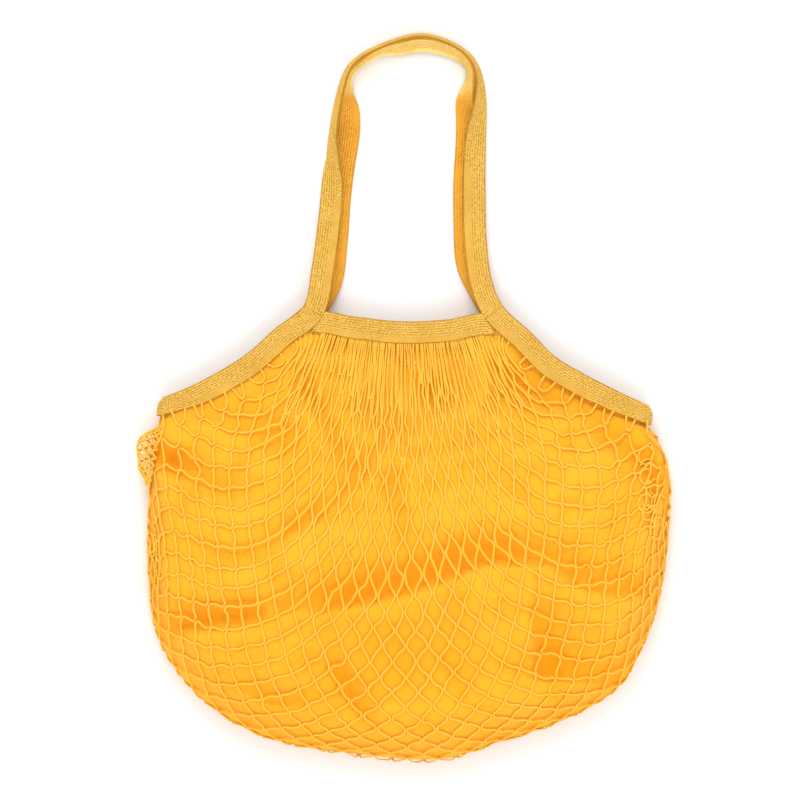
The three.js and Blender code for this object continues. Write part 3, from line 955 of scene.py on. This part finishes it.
def tie_points(c, front):
    row = 2 * int(slack_rng.integers(0, 3)) + (1 if c % 2 else 2)
    u = u_under_band(c)
    edge = pouch_point(u, 0.0 if front else 2.0)
    knot = joint_places[joint_at[c, row if front else 2 * HALF_ROWS - row]]
    outward = mouth_outward(u, NET_EDGE_STEP)
    points = [edge + outward * TUCK, edge + outward, mix(edge, knot, 0.35), mix(edge, knot, 0.7), knot]
    for k in (2, 3):
        points[k] = points[k] + slack_rng.normal(0, TIE_SLACK, 3)
    return np.array(points)


for c in range(-BAND_COLUMNS + 1, BAND_COLUMNS):
    for front in (True, False):
        strands.append(laid_strand(tie_points(c, front), TIE_FLAGS, TIE_RADIUS, 2))
print(len(strands), "strands with the ties")

# %% [markdown]
# ## Loose curls at the right corner
# At the right corner a few ends of the net are slack and curl up. A curl is a circle that is
# carried along a short line while its radius swells and shrinks. A Blender spiral curve would
# be too even, and the array can go through the same steps as the strands.

# %% Add the curls
CURLS = [
    # start, end, loops, radius of a loop
    ((183, -38), (182, -50), 1.5, 4.6),
    ((182, -54), (183, -66), 1.5, 3.4),
    ((181, -74), (182, -90), 2, 4.4),
    ((189, -60), (190, -96), 3, 2.2),
]
CURL_STEPS = 26
ABOVE_BAG = 90


def curl_points(start, end, loops, radius):
    t = np.linspace(0, 1, int(CURL_STEPS * loops))[:, None]
    angle = 2 * np.pi * loops * t
    line = mix(np.array(start, float), np.array(end, float), t)
    line = line + radius * np.hstack([np.cos(angle), np.sin(angle) * 0.9]) * (1 + 0.35 * np.sin(5.3 * t))
    down = Vector((0, 0, -1))
    heights = [pouch_tree.ray_cast(Vector((x, y, ABOVE_BAG)), down)[0].z for x, y in line]
    return np.column_stack([line, heights])


for curl in CURLS:
    points = curl_points(*curl)
    strands.append(laid_strand(points, np.zeros(len(points)), smoothing=0))
print(len(CURLS), "curls")

# %% [markdown]
# ## A ruffle at the left corner
# The net is wider than its lining, and at the left corner the spare net sticks out in a small
# double ruffle. Its strands zigzag like those of the net, between a root under the net and an
# outer edge, and a second layer underneath is knitted with another count, so the holes differ.

# %% Knit the ruffle
RUFFLE_ROOT = [(-182, -22), (-184, -34), (-186.5, -48), (-189, -60), (-191, -70)]
RUFFLE_EDGE = [
    (-184, -22), (-192, -26), (-198.2, -31), (-199.6, -38),
    (-199.2, -47), (-198, -54), (-194, -61.5), (-190.5, -69),
]  # fmt: skip
RUFFLE_LAYERS = [
    # strands between root and edge, zigzags along them, lift of the root
    (4, 8.5, 7.0),
    (3, 7.0, -5.0),
]
RUFFLE_STEPS, RUFFLE_EDGE_STEPS = 110, 60
RUFFLE_NOISE, RUFFLE_NOISE_SIZE = 0.9, 4
UPWARDS = [0.0, 0.0, 1.0]


def ruffle_strand(level, count, zigzags, lift):
    t = np.linspace(0, 1, RUFFLE_STEPS)
    zigzag = np.arcsin(0.96 * np.sin(2 * np.pi * zigzags * t)) / 1.29 * (-1) ** level
    share = np.minimum((level + 0.5 + 0.5 * zigzag) / count, 1.0)[:, None]
    plan = mix(smooth_curve(RUFFLE_ROOT, t), smooth_curve(RUFFLE_EDGE, t), share)
    wave = np.sin(9 * t + 2 * level)[:, None]
    return np.hstack([plan, RIM_HEIGHT + lift * np.sqrt(np.clip(1.02 - share, 0, 1)) + wave])


ruffle = [
    ruffle_strand(level, count, zigzags, lift)
    for count, zigzags, lift in RUFFLE_LAYERS
    for level in range(count)
]
ruffle_edge = smooth_curve(RUFFLE_EDGE, np.linspace(0, 1, RUFFLE_EDGE_STEPS))
ruffle.append(np.column_stack([ruffle_edge, np.full(RUFFLE_EDGE_STEPS, RIM_HEIGHT)]))
# Blender's noise vectors start from the clock unless a seed is set.
noise.seed_set(7)
for line in ruffle:
    line += RUFFLE_NOISE * np.array([noise.noise_vector(Vector(p) / RUFFLE_NOISE_SIZE) for p in line])
strands[:0] = [(line, np.tile(UPWARDS, (len(line), 1)), THREAD_RADIUS) for line in ruffle]
print(len(ruffle), "strands in the ruffle")

# %% [markdown]
# ## Tubes along the strands
# Each strand becomes a tube with eight sides, slightly flattened on the cloth below it.
# One long array holds all of a piece's tubes, so that a hundred thousand faces are made at
# once. A bevelled curve would be simpler, but it can't be flattened towards the cloth. The
# net is split into three pieces of about the same weight, from left to right.

# %% Knit the net
THREAD_SIDES = 8
THREAD_BREADTH = 1.05
END_TAPER = 0.4


def wrapped_uvs(along, around):
    i, j = np.meshgrid(np.arange(len(along) - 1), np.arange(len(around) - 1), indexing="ij")
    corners = [(i, j), (i, j + 1), (i + 1, j + 1), (i + 1, j)]
    return np.stack([np.stack([along[a], around[b]], -1) for a, b in corners], 2).reshape(-1, 4, 2)


def end_caps(rings, sides, start=0):
    last = start + (rings - 1) * sides
    return [start + np.arange(sides)[::-1], last + np.arange(sides)]


def tube_arrays(centres, overs, radius, start):
    along = unit(np.gradient(centres, axis=0))
    sideways = unit(np.cross(along, overs))
    overs = np.cross(sideways, along)
    angles = np.linspace(0, 2 * np.pi, THREAD_SIDES, endpoint=False)
    swell = np.full(len(centres), radius)
    swell[[0, -1]] *= END_TAPER
    swell = swell[:, None, None]
    ring = (
        np.cos(angles)[None, :, None] * sideways[:, None] * swell * THREAD_BREADTH
        + np.sin(angles)[None, :, None] * overs[:, None] * swell * THREAD_FLATNESS
    )
    points = (centres[:, None] + ring).reshape(-1, 3)
    quads = grid_quads(len(centres), THREAD_SIDES, start, closed=True)
    side_width = 2 * np.pi * radius / THREAD_SIDES
    uvs = wrapped_uvs(distance_along(centres), np.arange(THREAD_SIDES + 1) * side_width)
    return points, quads, uvs, end_caps(len(centres), THREAD_SIDES, start)


def tubes_piece(name, strands, material, nodes):
    tubes, start = [], 0
    for centres, overs, radius in strands:
        tubes.append(tube_arrays(centres, overs, radius, start))
        start += len(tubes[-1][0])
    points, quads, uvs = (np.concatenate([tube[k] for tube in tubes]) for k in range(3))
    caps = [cap for tube in tubes for cap in tube[3]]
    return make_piece(name, points, quads, uvs, material, nodes, caps)


strands.sort(key=lambda strand: strand[0][:, 0].mean())
points_so_far = np.cumsum([len(centres) for centres, _, _ in strands])
total = points_so_far[-1]
first, second = np.searchsorted(points_so_far, [total / 3, total * 2 / 3])
thirds = {"left": strands[:first], "middle": strands[first:second], "right": strands[second:]}
for side, third in thirds.items():
    tubes_piece(f"net_{side}", third, yarn, ["net"])

# %% [markdown]
# ## The knitted tape
# The tape is a flat knitted band, folded double. Its face is a set of fine ribs that run along
# it, and each rib is a row of small stitches. The ribs and stitches are made as real relief
# in the mesh, because they catch the light at the edges. Painted shade then darkens the gaps
# between the stitches and both edges of the tape to a brownish ochre, along with random dark
# flecks, and other random flecks get a painted highlight. In places the stitches along the
# inner side are smooth and plain. The back handle gets a copy of this finish with painted
# shade, more orange as if lit by light bounced off the yellow cloth, and with painted light
# that makes it pale round the top, so one function makes both finishes from four colours.

# %% Tape material
RIBS = 8
STITCH = 2.1
TAPE_WIDTH, TAPE_THICKNESS = 16.6, 2.4
FACE_SHARE = 0.9
RIB_TURNS = RIBS / (TAPE_WIDTH * FACE_SHARE * MM)
# Above these heights the back handle's colour turns to the painted light.
ARC_TURNS = (0.222, 0.238)  # metres up the bag, where the pale top of the handle begins
TAPE_COLOURS = [
    # deep, pale, painted highlight, painted shade and dark flecks
    (0.66, 0.37, 0.052, 1), (0.73, 0.425, 0.07, 1), (0.90, 0.59, 0.14, 1), (0.40, 0.185, 0.013, 1),
]  # fmt: skip
# A copy of the tape's colours with painted shade: more orange, as if lit by light bounced off the yellow
# cloth.
SHADED_COPY_COLOURS = [
    (0.74, 0.34, 0.024, 1), (0.79, 0.38, 0.034, 1), (0.88, 0.48, 0.065, 1), (0.53, 0.21, 0.010, 1),
]  # fmt: skip
# Painted light that makes the top of the back handle pale.
PAINTED_LIGHT_ARC = (0.98, 0.77, 0.25, 1)


def stitch_waves(tree, axes):
    ribs = sine(tree, axes[1], RIB_TURNS, np.pi / 2)
    rib_number = calculate(tree, "MULTIPLY", axes[1], RIB_TURNS * 0.5)
    stagger = calculate(tree, "MULTIPLY_ADD", rib_number, STITCH * MM, axes[0])
    return ribs, sine(tree, stagger, 1 / (STITCH * MM))


def plain_inner_side(tree, axes, place):
    width = TAPE_WIDTH * MM
    inner_side = spread(tree, axes[1], width * 0.44, width * 0.2)
    plain_places = noise_value(tree, place, 26.0)
    return calculate(tree, "MULTIPLY", inner_side, spread(tree, plain_places, 0.42, 0.58))


# Painted shade along both edges of the tape, where its round edges turn away from the light.
def edge_shade_mask(tree, axes):
    width = TAPE_WIDTH * MM
    from_middle = calculate(tree, "SUBTRACT", axes[1], width / 2)
    from_middle = calculate(tree, "ABSOLUTE", from_middle)
    return spread(tree, from_middle, width * 0.455, width * 0.5)


def ribbed_tape(name, colours, lit_arc_colour=None):
    deep, pale, highlight, shade_and_flecks = colours
    material, tree, shader = start_material(name, Roughness=0.92, Specular_IOR_Level=0.3)
    axes, place = cloth_places(tree)
    ribs, stitches = stitch_waves(tree, axes)
    wear = noise_value(tree, place, 60.0, 4.0)
    uneven = noise_value(tree, place, 950.0)
    ground = blend_colours(tree, spread(tree, wear, 0.35, 0.65), deep, pale)
    # Painted light: the colour turns pale above a given height.
    if lit_arc_colour:
        height = add_node(tree, "SeparateXYZ", {0: place}).outputs[1]
        ground = blend_colours(tree, spread(tree, height, *ARC_TURNS), ground, lit_arc_colour)
    colour = blend_colours(tree, spread(tree, uneven, 0.46, 0.7), ground, highlight)
    grooves = calculate(tree, "MULTIPLY_ADD", stitches, 0.2, ribs)
    depth = calculate(tree, "MULTIPLY_ADD", uneven, 3.6, grooves)
    # Painted shade in the gaps between ribs and stitches, mixed with random dark flecks.
    colour = blend_colours(tree, spread(tree, depth, 1.9, 0.4), colour, shade_and_flecks)
    colour = blend_colours(tree, plain_inner_side(tree, axes, place), colour, ground)
    # Painted shade at both edges of the tape.
    colour = blend_colours(tree, edge_shade_mask(tree, axes), colour, shade_and_flecks)
    fuzz = noise_value(tree, place, 1400.0)
    relief = calculate(tree, "MULTIPLY_ADD", ribs, 0.4, fuzz)
    finish_material(tree, shader, colour, relief, 0.6, 0.0004)
    return material


tape_finish = ribbed_tape("ribbed_tape", TAPE_COLOURS)
shaded_copy_tape = ribbed_tape("ribbed_tape_painted_shade", SHADED_COPY_COLOURS, PAINTED_LIGHT_ARC)
print("tape with", RIBS, "ribs, a stitch every", STITCH, "mm")

# %% [markdown]
# ## The route of the tape
# One closed loop of tape makes both handles and binds both sides of the mouth. Each point of
# the route has a middle and a direction to the tape's outer edge. The handles' points are
# written out, and the bindings follow the edge of the mouth and turn round its corners.

# %% Work out the loop of tape
FRONT_HANDLE = [
    (-68, 65, 20.9, 0), (-61, 97, 15, 0), (-56, 135, 7.5, 0), (-54, 158, 5.4, -12),
    (-53.3, 178, 8.6, -52), (-53.2, 197, 9.8, -70), (-49.2, 222, 10, -74), (-42.6, 245, 10, -78),
    (-32, 256.5, 10, -80), (-14, 265.5, 10, -80), (3, 271, 10, -80), (15, 272.1, 10, -80),
    (28, 269.2, 10, -80), (41, 263, 10, -80), (51, 254, 10, -78), (56.5, 240, 9.8, -74),
    (57, 222, 9, -58), (54.5, 202, 7, -32), (53, 180, 5.2, -6), (53, 150, 5.4, 0),
    (53.5, 122, 9.5, 0), (57.5, 88, 16.5, 0), (67.5, 64, 20.9, 0),
]  # fmt: skip
BACK_HANDLE = [
    (67.5, 64, 5.1, 0), (53.5, 87, 3.2, 0), (47, 104, 1.8, 0), (45.5, 132, 1.4, 0),
    (45.5, 163, 1.4, 0), (47, 188, 1.4, 0), (47.6, 208, 2.6, 6), (46.2, 222, 6.3, 36),
    (49.4, 236.6, 9.4, 68), (49.4, 247.6, 9.6, 75), (41.5, 257.2, 9.4, 64), (27.9, 263, 9.2, 58),
    (13.4, 265.4, 9.2, 55), (-3.7, 262.8, 9.2, 58), (-18.2, 259.9, 9.6, 72), (-31.7, 251.4, 9.8, 80),
    (-40.5, 242.2, 9.6, 78), (-42.6, 228, 8.6, 62), (-41, 213, 4.6, 22), (-42, 196, 1.8, 0),
    (-46, 170, 1.5, 0), (-48.5, 148, 1.4, 0), (-50.6, 119, 1.6, 0), (-54.9, 88, 3, 0),
    (-68, 65, 5.1, 0),
]  # fmt: skip
EDGE_GAP = 0.5
HALF_NET = 1.1
BINDING_STOPS = [
    # share of the mouth edge, share of the corner's slant, share of the tape's width
    (0.26, 0, 1), (0.2, 0, 1), (0.14, 0, 1), (0.085, 0.3, 0.97), (0.045, 0.7, 0.9), (0.012, 1, 0.84),
]  # fmt: skip
CORNER_WIDTH = 0.82
CORNERS = {
    # slant in degrees, how far the fold reaches past the last stop, how far it is rounded off
    "left": (20, 3.0, 5.0),
    "right": (12, 3.2, 4.5),
}
TURNS = np.radians([30, 60, 90, 120, 150])
TAPE_EDGE_STEP = 1e-4


def handle_route(points, side):
    points = np.array(points, float)
    ahead = np.vstack([points[1:], points[-1:]])[:, :2]
    behind = np.vstack([points[:1], points[:-1]])[:, :2]
    dx, dy = unit(ahead - behind).T
    lean = np.radians(points[:, 3])
    outward = np.stack([-dy * side * np.cos(lean), dx * side * np.cos(lean), np.sin(lean)], -1)
    return [(middle, edge, 1.0, 0.0, np.zeros(3)) for middle, edge in zip(points[:, :3], outward)]


def mouth_point(u, distance):
    outward = mouth_outward(u, TAPE_EDGE_STEP)
    return smooth_curve(MOUTH_EDGE, u) + outward[:2] * distance, outward


def binding_route(side):
    slant, reach, rounding = CORNERS[side]

    def stop_point(stop, slant_share, width, front):
        u = stop if side == "left" else 1 - stop
        lower, outward = mouth_point(u, EDGE_GAP)
        away = np.array([outward[1], -outward[0], 0]) * (-1 if side == "left" else 1)
        up = 1 if front else -1
        edge = float(pouch_point(u, 0.0 if front else 2.0)[2])
        if stop < CORNER_ROUNDING:
            edge = RIM_HEIGHT + up * CORNER_DROP
        turned = np.radians(slant * slant_share)
        to_edge = np.cos(turned) * outward - np.sin(turned) * away
        middle = np.append(lower, edge - up * HALF_NET) + to_edge * TAPE_WIDTH / 2 * width
        pull = -away * rounding * max(0, slant_share - 0.7)
        return middle, to_edge, width, 1.0, pull, away

    front = [stop_point(*stop, True) for stop in BINDING_STOPS]
    back = [stop_point(*stop, False) for stop in BINDING_STOPS][::-1]
    middle, to_edge, _, _, _, away = front[-1]
    drop = CORNER_DROP - HALF_NET
    turn = []
    for angle in TURNS:
        place = np.append((middle + away * reach * np.sin(angle))[:2], RIM_HEIGHT + drop * np.cos(angle))
        turn.append((place, to_edge, CORNER_WIDTH, 1.0, -away * rounding * np.sin(angle) ** 0.5))
    return [point[:5] for point in front] + turn + [point[:5] for point in back]


lengths_of_tape = [
    ("front_handle", handle_route(FRONT_HANDLE, 1)),
    ("right_side_binding", binding_route("right")),
    ("back_handle", handle_route(BACK_HANDLE, -1)),
    ("left_side_binding", binding_route("left")[::-1]),
]
loop = [point for _, route in lengths_of_tape for point in route]
loop_middles = np.array([point[0] for point in loop])
loop_outwards = np.array([point[1] for point in loop])
loop_numbers = np.array([point[2:4] for point in loop])
loop_pulls = np.array([point[4] for point in loop])
print("the loop of tape has", len(loop), "points")

# %% [markdown]
# ## Weaving the tape along its route
# The tape's section is drawn once: two ribbed faces joined by round edges. It is then carried
# along the route in steps of half a stitch, and every second step lifts the ribs a little, so
# each rib becomes a row of stitches. Neighbouring ribs are half a stitch apart.

# %% Make the tape
FACE_POINTS = RIBS * 4 + 1
RIB_RELIEF, STITCH_RELIEF = 0.3, 0.12
FINE_STEPS = 1500
ROUND_EDGE = [
    # share of half the width, share of half the thickness
    (0.965, 0.72), (1.0, 0.0), (0.965, -0.72),
]  # fmt: skip


def tape_section():
    face = np.linspace(-1, 1, FACE_POINTS)
    edge_across, edge_over = np.array(ROUND_EDGE).T
    one_side = np.concatenate([face * FACE_SHARE, edge_across])
    across = np.concatenate([one_side, -one_side])
    upper = np.concatenate([np.ones(FACE_POINTS), edge_over])
    over = np.concatenate([upper, -upper])
    rib = np.concatenate([0.5 + 0.5 * np.cos(np.pi * RIBS * (face + 1)), [0, 0, 0]] * 2)
    number = np.concatenate([np.floor((face + 1) / 2 * RIBS + 0.5), [0, 0, 0]] * 2)
    is_face = np.concatenate([np.ones(FACE_POINTS), [0, 0, 0]] * 2)
    return across, over, (1 - rib) * is_face, number, is_face


def tape_piece(name, middles, outers, nodes, widths=1.0, slanted=0.0, pulls=None, cloth=tape_finish):
    across, over, groove, number, is_face = tape_section()
    along = unit(np.gradient(middles, axis=0))
    square = outers - along * (outers * along).sum(1, keepdims=True) * (1 - slanted)
    to_edge = unit(square) * TAPE_WIDTH / 2 * widths
    up = unit(np.cross(along, to_edge))
    parity = np.where((np.arange(len(middles))[:, None] + number[None, :]) % 2 == 0, 1.0, 0.0)
    relief = groove[None, :] * RIB_RELIEF + parity * (1 - groove[None, :]) * is_face * STITCH_RELIEF
    height = over[None, :] * (TAPE_THICKNESS / 2 - relief)
    points = middles[:, None] + to_edge[:, None] * across[None, :, None] + up[:, None] * height[..., None]
    if pulls is not None:
        points += pulls[:, None] * (np.clip(across, 0, 1) ** 2)[None, :, None]
    sides = len(across)
    quads = grid_quads(len(middles), sides, closed=True)
    around = (np.append(across, across[0]) + 1) * TAPE_WIDTH / 2
    uvs = wrapped_uvs(distance_along(middles), around)
    caps = end_caps(len(middles), sides)
    return make_piece(name, points.reshape(-1, 3), quads, uvs, cloth, nodes, caps)


def even_steps(curve, first, last, step):
    fine = np.linspace(first, last, FINE_STEPS)
    travelled = distance_along(curve(fine))
    count = max(2, int(round(travelled[-1] / step)))
    return np.interp(np.linspace(0, travelled[-1], count + 1), travelled, fine)


def around_loop(values, steps):
    return smooth_curve(values, steps, closed=True)


start = 0
for name, route in lengths_of_tape:
    is_handle = name.endswith("handle")
    first = start if is_handle else start - 1
    last = start + len(route) - (1 if is_handle else 0)
    ends = first / len(loop), last / len(loop)
    steps = even_steps(lambda t: around_loop(loop_middles, t), *ends, STITCH / 2)
    middles, outers = around_loop(loop_middles, steps), around_loop(loop_outwards, steps)
    widths, slants = np.clip(around_loop(loop_numbers, steps), 0, 1).T[:, :, None]
    pulls = around_loop(loop_pulls, steps)
    # The back handle gets the copy of the finish with painted shade and painted light.
    cloth = shaded_copy_tape if name == "back_handle" else tape_finish
    tape_piece(f"tape_{name}", middles, outers, [name], widths, slants, pulls, cloth)
    start += len(route)

# %% [markdown]
# ## The two short bands
# The front and the back of the mouth are bound with short lengths of the same tape, which hold
# the gathered net. They run from one handle to the other, and their lower edge follows the mouth.

# %% Make the bands
BAND_UPPER = [(-58.6, 62.4), (-37, 60), (-3, 57), (30, 58), (57.4, 61.4)]
BAND_TAIL, TAIL_DIP = 6.0, 2.3  # each end runs on under the tape beside it, and dips below it
BANDS = [
    # name, height, direction of the dip
    ("front", RIM_HEIGHT + MOUTH_LIFT - HALF_NET, -1),
    ("back", RIM_HEIGHT - MOUTH_DROP + HALF_NET, 1),
]


def band_line(t):
    lower = np.array([mouth_point(mix(*BAND_SPAN, s), EDGE_GAP)[0] for s in t])
    upper = smooth_curve(BAND_UPPER, t)
    return lower, upper


for name, height, inside in BANDS:
    steps = even_steps(lambda t: np.mean(band_line(t), axis=0), 0, 1, STITCH / 2)
    lower, upper = band_line(steps)
    middles = np.column_stack([(lower + upper) / 2, np.full(len(steps), height)])
    outers = np.column_stack([upper - lower, np.zeros(len(steps))])
    tail = np.arange(1, BAND_TAIL / (STITCH / 2))[:, None] * STITCH / 2
    dip = np.array([0, 0, inside * TAIL_DIP]) * smooth_step(tail, 0, BAND_TAIL)
    first = middles[0] + unit(middles[0] - middles[1]) * tail + dip
    last = middles[-1] + unit(middles[-1] - middles[-2]) * tail + dip
    middles = np.vstack([first[::-1], middles, last])
    outers = np.vstack([outers[:1].repeat(len(tail), 0), outers, outers[-1:].repeat(len(tail), 0)])
    tape_piece(f"tape_{name}_mouth_band", middles, outers, [f"{name}_mouth_band"])
